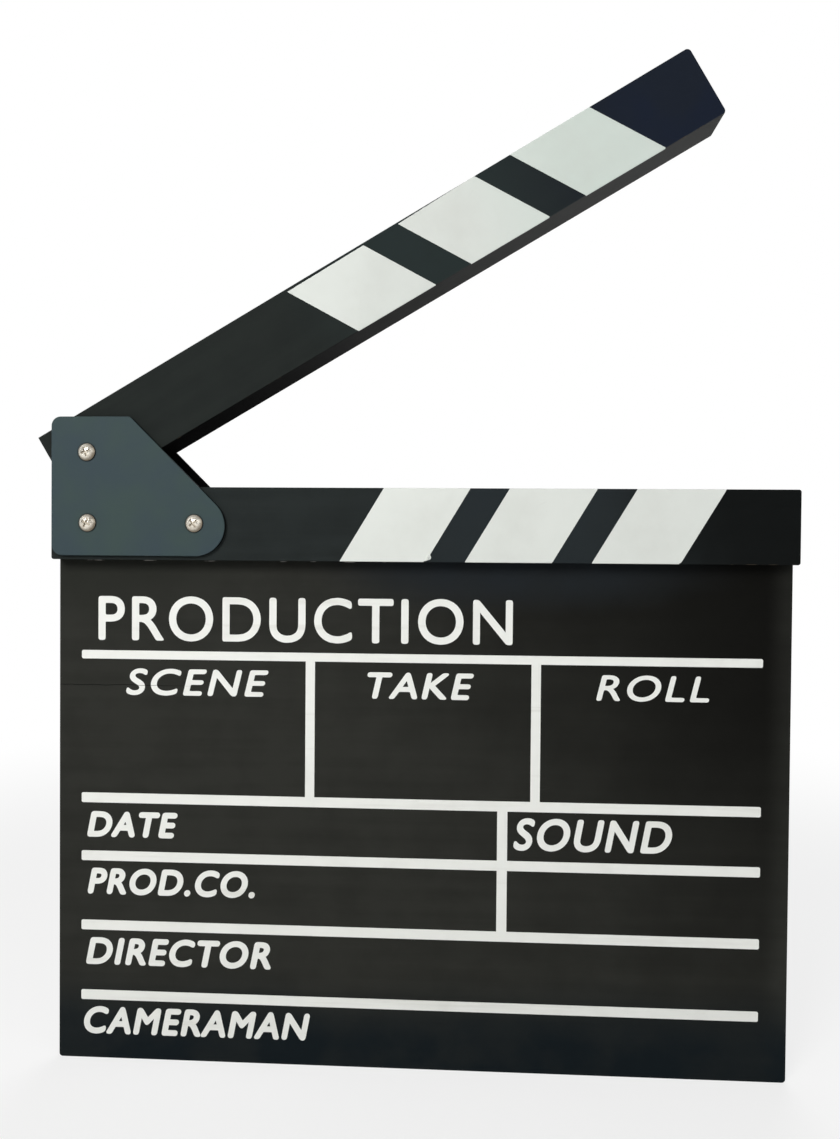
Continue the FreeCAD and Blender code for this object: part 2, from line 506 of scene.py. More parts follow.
@dataclass(frozen=True)
class Scuffs:
    """Fine scuffs that lie in a few rubbed places.

    Attributes:
        stretch: Scuffs to the metre along, through and across the piece.
        share: How large the rubbed places are, from 0 to about 0.3.
    """

    stretch: Triple
    share: float

    @staticmethod
    def make() -> None:
        """Makes the shared effect, from the borders of stretched cells."""
        line_width = 0.035
        smallest_level = 0.8
        graph, given, result = Effect.SCUFFS.begin(("Position", "Stretch"), ("Share",), ("Mask",))
        drawn = graph.vector("MULTIPLY", given["Position"], given["Stretch"])
        cells = graph.put("ShaderNodeTexVoronoi", {"Vector": drawn, "Scale": 1.0}, feature="DISTANCE_TO_EDGE")
        lines = graph.fade(cells.outputs["Distance"], 0.0, line_width)
        cut = graph.less(smallest_level, given["Share"])
        rubbed = Clouds(scale=31.0, octaves=3.0, low=cut, high=0.85).over(graph, given["Position"])
        graph.feed(result["Mask"], graph.times(lines, rubbed))

    def mask(self, graph: Graph, position: Feed) -> Value:
        """Gives 1 in a scuff and 0 beside it."""
        feeds = {"Position": position, "Stretch": self.stretch, "Share": self.share}
        return graph.effect(Effect.SCUFFS, **feeds)["Mask"]


@dataclass(frozen=True)
class Hairline:
    """A thin wandering line that runs in from a face's left end, from the piece's middle, in metres.

    Attributes:
        level: Lowest height of the line.
        end: X at which it runs out.
        wander: How far it strays upwards.
        width: How far it reaches to either side.
        broken: How far it is broken up, from 0 to about 0.7.
    """

    level: float
    end: float
    wander: float = 2.2 * MM
    width: float = 0.22 * MM
    broken: float = 0.0

    @staticmethod
    def make() -> None:
        """Makes the shared effect, which tapers off at its end."""
        taper = 0.03
        dash_edge = 0.08
        numbers = ("Level", "Wander", "End", "Width", "Break")
        graph, given, result = Effect.HAIRLINE.begin(("Position",), numbers, ("Mask",))
        along, _, up = graph.split(given["Position"])
        line = graph.put("ShaderNodeCombineXYZ", {0: along}).outputs[0]
        level = graph.scaled(graph.noise(line, scale=60.0), given["Wander"], given["Level"])
        hair = graph.fade(graph.math("ABSOLUTE", graph.less(up, level)), 0.0, given["Width"])
        tail = graph.fade(along, graph.less(given["End"], taper), given["End"])
        full = graph.math("ADD", given["Break"], dash_edge)
        dashes = Clouds(scale=85.0, octaves=3.0, low=given["Break"], high=full).over(graph, line)
        graph.feed(result["Mask"], graph.times(graph.times(hair, tail), dashes))

    def mask(self, graph: Graph, position: Feed) -> Value:
        """Gives 1 in the line and 0 beside it."""
        line = {"Level": self.level, "Wander": self.wander, "End": self.end, "Width": self.width}
        return graph.effect(Effect.HAIRLINE, Position=position, Break=self.broken, **line)["Mask"]


# Finishes


def begin_finish(name: str) -> tuple[bpy.types.Material, Graph, bpy.types.NodeInputs]:
    """Starts a material.

    Args:
        name: Name of the finish.

    Returns:
        The material, its graph and the sockets of its Principled shader.
    """
    material = bpy.data.materials.new(name)
    material.use_nodes = True
    shader = material.node_tree.nodes["Principled BSDF"]
    return material, Graph(material.node_tree), shader.inputs


def coat(graph: Graph, shader: bpy.types.NodeInputs, colour: Value, rough: Value, normal: Value) -> None:
    """Feeds a shader with what varies over the surface.

    Args:
        graph: The material's graph.
        shader: Sockets of its Principled shader.
        colour: Base colour.
        rough: Roughness.
        normal: Bumped normal.
    """
    for name, value in (("Base Color", colour), ("Roughness", rough), ("Normal", normal)):
        graph.feed(shader[name], value)


@dataclass(frozen=True)
class Tint:
    """A patch of another tone that fades out round it, in metres.

    Attributes:
        centre: X and Z of the patch's middle, from the piece's middle.
        reach: How far it reaches along X and along Z before it has faded.
        colour: Colour of the patch.
        core: Share of the reach within which the tint is full.
        wander: How far its edge strays, as a share of the reach.
        clouds: Cloudy strength of the tint.
    """

    centre: Pair
    reach: Pair
    colour: Colour
    core: float = 0.25
    wander: float = 0.5
    clouds: Clouds = Clouds(scale=34.0, octaves=4.0, low=0.35, high=0.65, start=0.75, end=1.05)

    def lay(self, graph: Graph, position: Feed, colour: Feed) -> Value:
        """Lays the tint over a colour.

        Args:
            graph: The material's graph.
            position: Where it is read, in the block's frame.
            colour: Colour of the rest of the piece.

        Returns:
            The colour all over the piece.
        """
        centre = (self.centre[0], 0.0, self.centre[1])
        shares = (1.0 / self.reach[0], 0.0, 1.0 / self.reach[1])
        away = graph.vector("MULTIPLY", graph.vector("SUBTRACT", position, centre), shares)
        level = graph.scaled(graph.drift(position), self.wander, graph.gauge("LENGTH", away))
        inside = graph.fade(level, self.core, 1.0)
        share = graph.times(inside, self.clouds.over(graph, position), clamp=True)
        return graph.blend(share, colour, self.colour)


@dataclass(frozen=True)
class HazeAndPaintedLight:
    """Greying of the paint by chalk and handling, together with painted light: lighter to the left and along
    the right end, deeper to the right, from a piece's middle, in metres.

    Attributes:
        full: X up to which the greying and painted light are full.
        gone: X past which it has faded.
        rest: Share of it that is left past there.
        lean: How far it draws back to the left for each metre up.
        rim: Share of painted light that is added along the right end.
        rim_width: How far that share reaches in from the end.
        wander: How far its edge strays.
        patchiness: Cloudy strength of the greying and painted light.
        side: Two depths below a broad face, and the shares of the greying and painted light there, so that
            the thin faces stay deep black.
    """

    full: float
    gone: float
    rest: float
    lean: float = 0.0
    rim: float = 0.0
    rim_width: float = 11.0 * MM
    wander: float = 0.07
    patchiness: Clouds = Clouds(scale=46.0, octaves=5.0, low=0.2, high=0.8, start=0.8, end=1.1, rough=0.6)
    side: Ramp = (0.1 * MM, 0.7 * MM, 1.0, 0.15)

    def share(self, graph: Graph, position: Feed, block: Block) -> Value:
        """Works out the share of haze.

        Args:
            graph: The material's graph.
            position: Where it is read, in the block's frame.
            block: The painted piece, whose broad faces take the haze.

        Returns:
            The share, from 0 to about 1.
        """
        # Painted light: the greying is strongest to the left and along the right end, and fades to the right
        along, across, up = graph.split(position)
        strayed = graph.scaled(graph.drift(position), self.wander, along)
        reach = graph.scaled(up, self.lean, strayed)
        sideways = graph.ease(reach, self.full, self.gone, 1.0, self.rest)
        rim = graph.ease(along, block.half[0] - self.rim_width, block.half[0], 0.0, self.rim)
        facing = graph.ease(graph.less(block.half[1], graph.math("ABSOLUTE", across)), *self.side)
        spread = graph.times(graph.math("ADD", sideways, rim), self.patchiness.over(graph, position))
        return graph.times(spread, facing)


@dataclass(frozen=True)
class PaintedUndersideLight:
    """Painted light and shade on the stick's underside: painted shade near the hinge, painted light towards
    the tip, in metres.

    Attributes:
        start: X from the stick's middle at which the painted light starts.
        end: X at which it is full.
        near: How close to the underside it lies.
        hinge_shade: Painted shade, near black, on the underside near the hinge.
        tip_light: Painted light on the underside towards the tip.
    """

    start: float
    end: float
    near: float = 0.5 * MM
    hinge_shade: Colour = (0.0008, 0.0008, 0.0009, 1.0)
    tip_light: Colour = (0.062, 0.063, 0.062, 1.0)

    def lay(
        self, graph: Graph, position: Feed, block: Block, colour: Feed, rough: Feed
    ) -> tuple[Value, Value]:
        """Paints the underside.

        Args:
            graph: The material's graph.
            position: Where it is read, in the block's frame.
            block: The stick.
            colour: Colour of the rest of the stick.
            rough: Roughness of the rest of the stick.

        Returns:
            The colour and the roughness all over the stick.
        """
        along, _, up = graph.split(position)
        # Painted shade near the hinge turning into painted light towards the tip; rubbed is the share of
        # painted light
        rubbed = graph.ease(along, self.start, self.end)
        under = graph.fade(graph.math("ADD", up, block.half[2]), 0.0, self.near)
        dull = graph.times(under, graph.less(1.0, rubbed))
        painted = graph.blend(under, colour, graph.blend(rubbed, self.hinge_shade, self.tip_light))
        return painted, graph.larger(rough, dull)


@dataclass(frozen=True)
class BlackPaint:
    """Matt black paint on wood, rubbed through in places along the edges.

    Attributes:
        name: Name of the material.
        block: The painted piece.
        fibres: Grain of the wood.
        haze_and_light: Where chalk, handling and painted light grey the paint.
        deep: Clean paint.
        grey: Paint under the chalk, handling and painted light.
        gloss: Specular level.
        tints: Patches where the paint has another tone.
        crack: Hairline crack in the face, if there is one.
        dust: Line of pale dust on the face, if there is one.
        underside_light: Painted light and shade on the underside, if there is one.
        grain: Two tones of the fibres, and the shares of the greying and painted light that they take.
        mottle: Scale and octaves of the uneven sheen.
        rough: Spread and base of the roughness.
        scuffs: Fine scuffs.
        scuff_polish: What a scuff adds to the roughness.
        specks: Specks of dust.
        mark: Colour of specks and scuffs.
        mark_shares: Shares of that colour in specks and in scuffs.
        wear: Paint rubbed off along the edges.
        bare: Wood under the paint.
        bare_share: Share of that colour in the wear.
        bare_height: Height that the wear adds.
        chalk: Colour of the line of dust.
        chalk_share: Share of that colour in the line.
        soot: Colour of the crack.
        crack_height: Height that the crack adds.
        peel: Scale and octaves of the paint's own texture.
        peel_height: Height of that texture.
        relief: Strength and depth of the bump.
    """

    name: str
    block: Block
    fibres: Fibres
    haze_and_light: HazeAndPaintedLight
    deep: Colour = (0.0052, 0.0051, 0.0044, 1.0)
    grey: Colour = (0.0282, 0.0289, 0.0252, 1.0)
    gloss: float = 0.03
    tints: tuple[Tint, ...] = ()
    crack: Hairline | None = None
    dust: Hairline | None = None
    underside_light: PaintedUndersideLight | None = None
    grain: Ramp = (0.25, 0.75, 0.86, 1.1)
    mottle: Pair = (210.0, 4.0)
    rough: Pair = (0.16, 0.58)
    scuffs: Scuffs = Scuffs((38.0, 90.0, 260.0), share=0.12)
    scuff_polish: float = -0.12
    specks: Specks = Specks(1500.0)
    mark: Colour = (0.09, 0.09, 0.085, 1.0)
    mark_shares: Pair = (0.0875, 0.1225)
    wear: Wear = Wear(0.7 * MM, scale=95.0)
    bare: Colour = (0.085, 0.066, 0.045, 1.0)
    bare_share: float = 0.55
    bare_height: float = -0.5
    chalk: Colour = (0.42, 0.41, 0.38, 1.0)
    chalk_share: float = 0.6
    soot: Colour = (0.002, 0.002, 0.002, 1.0)
    crack_height: float = -3.0
    peel: Pair = (2400.0, 2.0)
    peel_height: float = 0.25
    relief: Pair = (0.35, 0.06 * MM)

    def material(self) -> bpy.types.Material:
        """Builds the paint's material.

        Returns:
            The material.
        """
        material, graph, shader = begin_finish(self.name)
        place = graph.place(self.block)
        fibres = self.fibres.lay(graph, place)
        grain = graph.ease(fibres["Tone"], *self.grain)
        # Greying by chalk and handling, together with painted light
        haze_and_light = graph.times(self.haze_and_light.share(graph, place, self.block), grain, clamp=True)
        colour = graph.blend(haze_and_light, self.deep, self.grey)
        for tint in self.tints:
            colour = tint.lay(graph, place, colour)

        scuffs = self.scuffs.mask(graph, place)
        rough = graph.scaled(graph.noise(place, *self.mottle), *self.rough)
        rough = graph.scaled(scuffs, self.scuff_polish, rough)
        # Painted shade and painted light on the stick's underside
        if self.underside_light:
            colour, rough = self.underside_light.lay(graph, place, self.block, colour, rough)

        marks = graph.strongest((self.specks.mask(graph, place), scuffs), self.mark_shares)
        colour = graph.blend(marks, colour, self.mark)
        worn = self.wear.mask(graph, place, self.block)
        colour = graph.blend(graph.times(worn, self.bare_share), colour, self.bare)
        height = graph.scaled(worn, self.bare_height, fibres["Height"])

        if self.dust:
            line = graph.times(self.dust.mask(graph, place), self.chalk_share)
            colour = graph.blend(line, colour, self.chalk)
        if self.crack:
            crack = self.crack.mask(graph, place)
            colour = graph.blend(crack, colour, self.soot)
            height = graph.scaled(crack, self.crack_height, height)

        height = graph.scaled(graph.noise(place, *self.peel), self.peel_height, height)
        coat(graph, shader, colour, rough, graph.bump(height, *self.relief))
        shader["Specular IOR Level"].default_value = self.gloss
        return material


@dataclass(frozen=True)
class Head:
    """Round head of a screw or post: its axis along Y and its rim, in metres."""

    x: float
    z: float
    rim: float

    @classmethod
    def of_node(cls, node: str) -> "Head":
        """Measures the head of a CAD node, whose head is its widest part."""
        block = Block.of_node(node)
        return cls(block.centre[0], block.centre[2], block.half[0])

    def distance(self, graph: Graph, spot: Feed) -> Value:
        """Gives how far a place is from the head's axis."""
        flat = graph.vector("MULTIPLY", spot, (1.0, 0.0, 1.0))
        return graph.gauge("DISTANCE", flat, (self.x, 0.0, self.z))


@dataclass(frozen=True)
class CoatedSteel:
    """Blue-grey satin coating on the hinge plates, with painted shade on the cut sides, on the side that
    faces the rails and round the heads.

    Attributes:
        name: Name of the material.
        block: The plate.
        inner: Sign along Y of the side that faces the rails.
        heads: Screws or posts whose heads lie on the plate.
        cool: The coating where it looks bluer.
        warm: The coating where it looks greener.
        clouds: Where it looks greener.
        rubbed: Coating polished thin along the edges and in specks.
        specks: Where the coating is thin.
        speck_share: Share of thin coating in a speck.
        wear: Coating polished along the edges.
        wear_share: Share of thin coating there.
        painted_shade: Black painted shade on the cut sides, on the side that faces the rails and round each
            head.
        face_depth: How far the coating reaches down the sides before the painted shade, as shares of the half
            thickness.
        shadow_ring: Width of the band of painted shadow round a head.
        shadow_ring_share: Strength of that painted shadow at the head.
        mottle: Scale and octaves of the uneven sheen.
        rough: Spread and base of the roughness.
        scuffs: Fine scuffs.
        scuff_polish: What a scuff adds to the roughness.
        grain: Scale and octaves of the coating's finest texture.
        grain_height: Height of that texture.
        peel: Scale and octaves of its orange peel.
        relief: Strength and depth of the bump.
        gloss: Specular level.
    """

    name: str
    block: Block
    inner: float
    heads: tuple[Head, ...]
    cool: Colour = (0.0415, 0.0615, 0.0725, 1.0)
    warm: Colour = (0.0455, 0.0695, 0.067, 1.0)
    clouds: Clouds = Clouds(scale=42.0, octaves=3.0, low=0.3, high=0.7)
    rubbed: Colour = (0.11, 0.125, 0.13, 1.0)
    specks: Specks = Specks(2300.0, share=0.02)
    speck_share: float = 0.25
    wear: Wear = Wear(0.8 * MM, scale=160.0)
    wear_share: float = 0.5
    painted_shade: Colour = (0.003, 0.003, 0.0033, 1.0)
    face_depth: Pair = (-0.8, -0.5)
    shadow_ring: float = 0.65 * MM
    shadow_ring_share: float = 0.75
    mottle: Pair = (330.0, 3.0)
    rough: Pair = (0.14, 0.46)
    scuffs: Scuffs = Scuffs((60.0, 60.0, 420.0), share=0.16)
    scuff_polish: float = -0.1
    grain: Pair = (5200.0, 2.0)
    grain_height: float = 0.4
    peel: Pair = (1300.0, 3.0)
    relief: Pair = (0.3, 0.03 * MM)
    gloss: float = 0.06

    def material(self) -> bpy.types.Material:
        """Builds the coating's material.

        Returns:
            The material.
        """
        material, graph, shader = begin_finish(self.name)
        place = graph.place(self.block)
        colour = graph.blend(self.clouds.over(graph, place), self.cool, self.warm)
        specks = graph.times(self.specks.mask(graph, place), self.speck_share)
        colour = graph.blend(specks, colour, self.rubbed)
        worn = graph.times(self.wear.mask(graph, place, self.block), self.wear_share)
        colour = graph.blend(worn, colour, self.rubbed)

        # Painted shade on the cut sides and on the side that faces the rails
        depth = graph.times(graph.split(place)["Y"], self.inner)
        inside = graph.ease(depth, *(share * self.block.half[1] for share in self.face_depth))
        shade_mask = inside
        spot = graph.spot()
        # A band of painted shadow round each head, where a head meets the plate
        for head in self.heads:
            away = head.distance(graph, spot)
            shade_mask = graph.larger(shade_mask, graph.ease(away, head.rim, head.rim + self.shadow_ring, self.shadow_ring_share, 0.0))
        colour = graph.blend(shade_mask, colour, self.painted_shade)

        rough = graph.scaled(graph.noise(place, *self.mottle), *self.rough)
        rough = graph.scaled(self.scuffs.mask(graph, place), self.scuff_polish, rough)
        rough = graph.larger(rough, inside)
        peel = graph.noise(place, *self.peel)
        height = graph.scaled(graph.noise(place, *self.grain), self.grain_height, peel)
        coat(graph, shader, colour, rough, graph.bump(height, *self.relief))
        shader["Specular IOR Level"].default_value = self.gloss
        return material


@dataclass(frozen=True)
class Nickel:
    """Warm nickel plating on a screw or post, pitted, with painted shade towards the rim, deepest at the
    lower right, and dirt with painted shade in its recess.

    Attributes:
        name: Name of the material.
        head: The domed head.
        depth: Y of the centre of the ball that the dome is part of, in metres.
        radius: Radius of that ball.
        bright: Clean plating.
        tarnished: Dulled plating.
        clouds: Where the plating is dulled.
        cloud_share: Strength of that tarnish.
        pits: Pits in the plating.
        pit_share: Strength of the tarnish in a pit.
        grime_and_shade: Colour of the dirt and painted shade in the recess, and of the painted shade towards
            the rim.
        light_shift: How far left and up of the axis the painted shade is centred, so that it is deepest at
            the lower right of the rim.
        rim_shares: Shares of the rim's radius between which the painted shade deepens.
        rim_shade: Strength of the painted shade at the rim.
        recess: Depths below the dome between which the recess fades.
        recess_grime_and_shade: Strength of the dirt and painted shade in the recess.
        mottle: Scale and octaves of the uneven sheen.
        rough: Spread and base of the roughness.
        recess_rough: What the recess adds to the roughness.
        pit_rough: What a pit adds to the roughness.
        dents: Scale and octaves of the dented surface.
        pit_height: Height that a pit adds.
        relief: Strength and depth of the bump.
    """

    name: str
    head: Head
    depth: float
    radius: float
    bright: Colour = (0.87, 0.82, 0.72, 1.0)
    tarnished: Colour = (0.42, 0.36, 0.27, 1.0)
    clouds: Clouds = Clouds(scale=520.0, octaves=4.0, low=0.42, high=0.72)
    cloud_share: float = 0.45
    pits: Specks = Specks(3600.0, share=0.14)
    pit_share: float = 0.5
    grime_and_shade: Colour = (0.16, 0.125, 0.085, 1.0)
    light_shift: float = 0.3 * MM
    rim_shares: Pair = (0.55, 1.08)
    rim_shade: float = 0.9
    recess: Pair = (0.45 * MM, 0.06 * MM)
    recess_grime_and_shade: float = 0.6
    mottle: Pair = (900.0, 3.0)
    rough: Pair = (0.2, 0.14)
    recess_rough: float = 0.35
    pit_rough: float = 0.18
    dents: Pair = (1400.0, 3.0)
    pit_height: float = -0.8
    relief: Pair = (0.45, 0.08 * MM)

    def material(self) -> bpy.types.Material:
        """Builds the plating's material.

        Returns:
            The material.
        """
        material, graph, shader = begin_finish(self.name)
        spot = graph.spot()
        pits = self.pits.mask(graph, spot)
        dulled = graph.times(self.clouds.over(graph, spot), self.cloud_share)
        colour = graph.blend(dulled, self.bright, self.tarnished)
        colour = graph.blend(graph.times(pits, self.pit_share), colour, self.tarnished)
        # Painted shade towards the rim, deepest at the lower right; rubbed marks the middle of the lit part
        rubbed = Head(self.head.x - self.light_shift, self.head.z + self.light_shift, self.head.rim)
        rim = graph.ease(rubbed.distance(graph, spot), *(share * self.head.rim for share in self.rim_shares))
        colour = graph.blend(graph.times(rim, self.rim_shade), colour, self.grime_and_shade)
        # Dirt and painted shade in the recess
        off = graph.gauge("DISTANCE", spot, (self.head.x, self.depth, self.head.z))
        sunk = graph.fade(off, *(self.radius - below for below in self.recess))
        colour = graph.blend(graph.times(sunk, self.recess_grime_and_shade), colour, self.grime_and_shade)
        rough = graph.scaled(graph.noise(spot, *self.mottle), *self.rough)
        rough = graph.scaled(sunk, self.recess_rough, rough)
        rough = graph.scaled(pits, self.pit_rough, rough)
        height = graph.scaled(pits, self.pit_height, graph.noise(spot, *self.dents))
        coat(graph, shader, colour, rough, graph.bump(height, *self.relief))
        shader["Metallic"].default_value = 1.0
        return material


@dataclass(frozen=True)
class Nylon:
    """Milky nylon of the pivot washers.

    Attributes:
        name: Name of the material.
        pale: Clean nylon.
        rubbed: Nylon greyed by rubbing.
        smudge: Where it is rubbed.
        rough: Spread and base of the roughness.
        peel: Scale and octaves of its texture.
        relief: Strength and depth of the bump.
        milk: Share of light that scatters inside.
        milk_depth: How far that light goes, in metres.
    """

    name: str = "nylon"
    pale: Colour = (0.68, 0.66, 0.60, 1.0)
    rubbed: Colour = (0.40, 0.38, 0.34, 1.0)
    smudge: Clouds = Clouds(scale=600.0, octaves=4.0, low=0.45, high=0.75)
    rough: Pair = (0.2, 0.38)
    peel: Pair = (2600.0, 3.0)
    relief: Pair = (0.25, 0.03 * MM)
    milk: float = 0.2
    milk_depth: float = 0.4 * MM

    def material(self) -> bpy.types.Material:
        """Builds the nylon's material.

        Returns:
            The material.
        """
        material, graph, shader = begin_finish(self.name)
        spot = graph.spot()
        smudge = self.smudge.over(graph, spot)
        colour = graph.blend(smudge, self.pale, self.rubbed)
        bumps = graph.bump(graph.noise(spot, *self.peel), *self.relief)
        coat(graph, shader, colour, graph.scaled(smudge, *self.rough), bumps)
        shader["Subsurface Weight"].default_value = self.milk
        shader["Subsurface Scale"].default_value = self.milk_depth
        return material


@dataclass(frozen=True)
class WhiteFilm:
    """Satin white film stuck on the rails.

    Attributes:
        name: Name of the material.
        block: The rail that carries it.
        clean: Film as it was cut.
        handled: Film greyed by handling.
        tints: Patches where the film has another tone.
        smudge: Where it is greyed.
        specks: Specks of dirt.
        scuffs: Fine scuffs.
        dirt_shares: Strength of the grey in smudges, specks and scuffs.
        fibres: Grain of the wood underneath.
        bubbles: Air trapped under the film.
        bubble_height: Height of that air.
        rough: Spread and base of the roughness.
        relief: Strength and depth of the bump.
        gloss: Specular level.
    """

    name: str
    block: Block
    clean: Colour = (0.711, 0.738, 0.702, 1.0)
    handled: Colour = (0.561, 0.575, 0.536, 1.0)
    tints: tuple[Tint, ...] = ()
    smudge: Clouds = Clouds(scale=36.0, octaves=5.0, low=0.42, high=0.8, rough=0.6)
    specks: Specks = Specks(1500.0)
    scuffs: Scuffs = Scuffs((30.0, 80.0, 200.0), share=0.15)
    dirt_shares: Triple = (0.3, 0.7, 0.4)
    fibres: Fibres = Fibres((40.0, 600.0, 600.0))
    bubbles: Clouds = Clouds(scale=190.0, octaves=1.0, low=0.66, high=0.8)
    bubble_height: float = 0.6
    rough: Pair = (0.15, 0.5)
    relief: Pair = (0.22, 0.04 * MM)
    gloss: float = 0.4

    def material(self) -> bpy.types.Material:
        """Builds the film's material.

        Returns:
            The material.
        """
        material, graph, shader = begin_finish(self.name)
        place = graph.place(self.block)
        smudge = self.smudge.over(graph, place)
        marks = (smudge, self.specks.mask(graph, place), self.scuffs.mask(graph, place))
        dirt = graph.strongest(marks, self.dirt_shares)
        colour = self.clean
        for tint in self.tints:
            colour = tint.lay(graph, place, colour)
        colour = graph.blend(dirt, colour, self.handled)
        strands = self.fibres.lay(graph, place)["Height"]
        height = graph.scaled(self.bubbles.over(graph, place), self.bubble_height, strands)
        coat(graph, shader, colour, graph.scaled(smudge, *self.rough), graph.bump(height, *self.relief))
        shader["Specular IOR Level"].default_value = self.gloss
        return material


@dataclass(frozen=True)
class WhitePrint:
    """White screen print that takes the grain of the board.

    Attributes:
        name: Name of the material.
        block: The board.
        crack: Hairline crack that runs through the print.
        thick: Ink where it lies thick.
        thin: Ink where the board shows through.
        fibres: Grain of the board.
        streaks: Tones of the fibres between which the ink thins.
        streak_share: How thin the ink is in a streak.
        clouds: Where the ink is thinner.
        cloud_share: How thin it is there.
        pinholes: Pinholes in the ink.
        pinhole_share: How thin it is in a pinhole.
        soot: Colour of the crack.
        soot_share: Share of that colour in it.
        crack_height: Height that the crack adds.
        rough: Spread and base of the roughness.
        relief: Strength and depth of the bump.
        gloss: Specular level.
    """

    name: str
    block: Block
    crack: Hairline
    thick: Colour = (0.84, 0.85, 0.815, 1.0)
    thin: Colour = (0.50, 0.49, 0.44, 1.0)
    fibres: Fibres = Fibres((26.0, 500.0, 620.0))
    streaks: Pair = (0.56, 0.76)
    streak_share: float = 0.3
    clouds: Clouds = Clouds(scale=55.0, octaves=4.0, low=0.45, high=0.8)
    cloud_share: float = 0.14
    pinholes: Specks = Specks(2600.0, share=0.02)
    pinhole_share: float = 0.8
    soot: Colour = (0.05, 0.05, 0.045, 1.0)
    soot_share: float = 0.75
    crack_height: float = -2.0
    rough: Pair = (0.15, 0.55)
    relief: Pair = (0.4, 0.05 * MM)
    gloss: float = 0.3

    def material(self) -> bpy.types.Material:
        """Builds the ink's material.

        Returns:
            The material.
        """
        material, graph, shader = begin_finish(self.name)
        place = graph.place(self.block)
        fibres = self.fibres.lay(graph, place)
        streaks = graph.ease(fibres["Tone"], *self.streaks)
        clouds = graph.times(self.clouds.over(graph, place), self.cloud_share)
        pinholes = graph.times(self.pinholes.mask(graph, place), self.pinhole_share)
        thin = graph.larger(graph.scaled(streaks, self.streak_share, clouds), pinholes, clamp=True)
        colour = graph.blend(thin, self.thick, self.thin)
        crack = self.crack.mask(graph, place)
        colour = graph.blend(graph.times(crack, self.soot_share), colour, self.soot)
        height = graph.scaled(crack, self.crack_height, fibres["Height"])
        coat(graph, shader, colour, graph.scaled(streaks, *self.rough), graph.bump(height, *self.relief))
        shader["Specular IOR Level"].default_value = self.gloss
        return material


# Board and print


class Stance(Enum):
    """How a printed word stands: its slant to its height."""

    UPRIGHT = 0.0
    OBLIQUE = 0.2


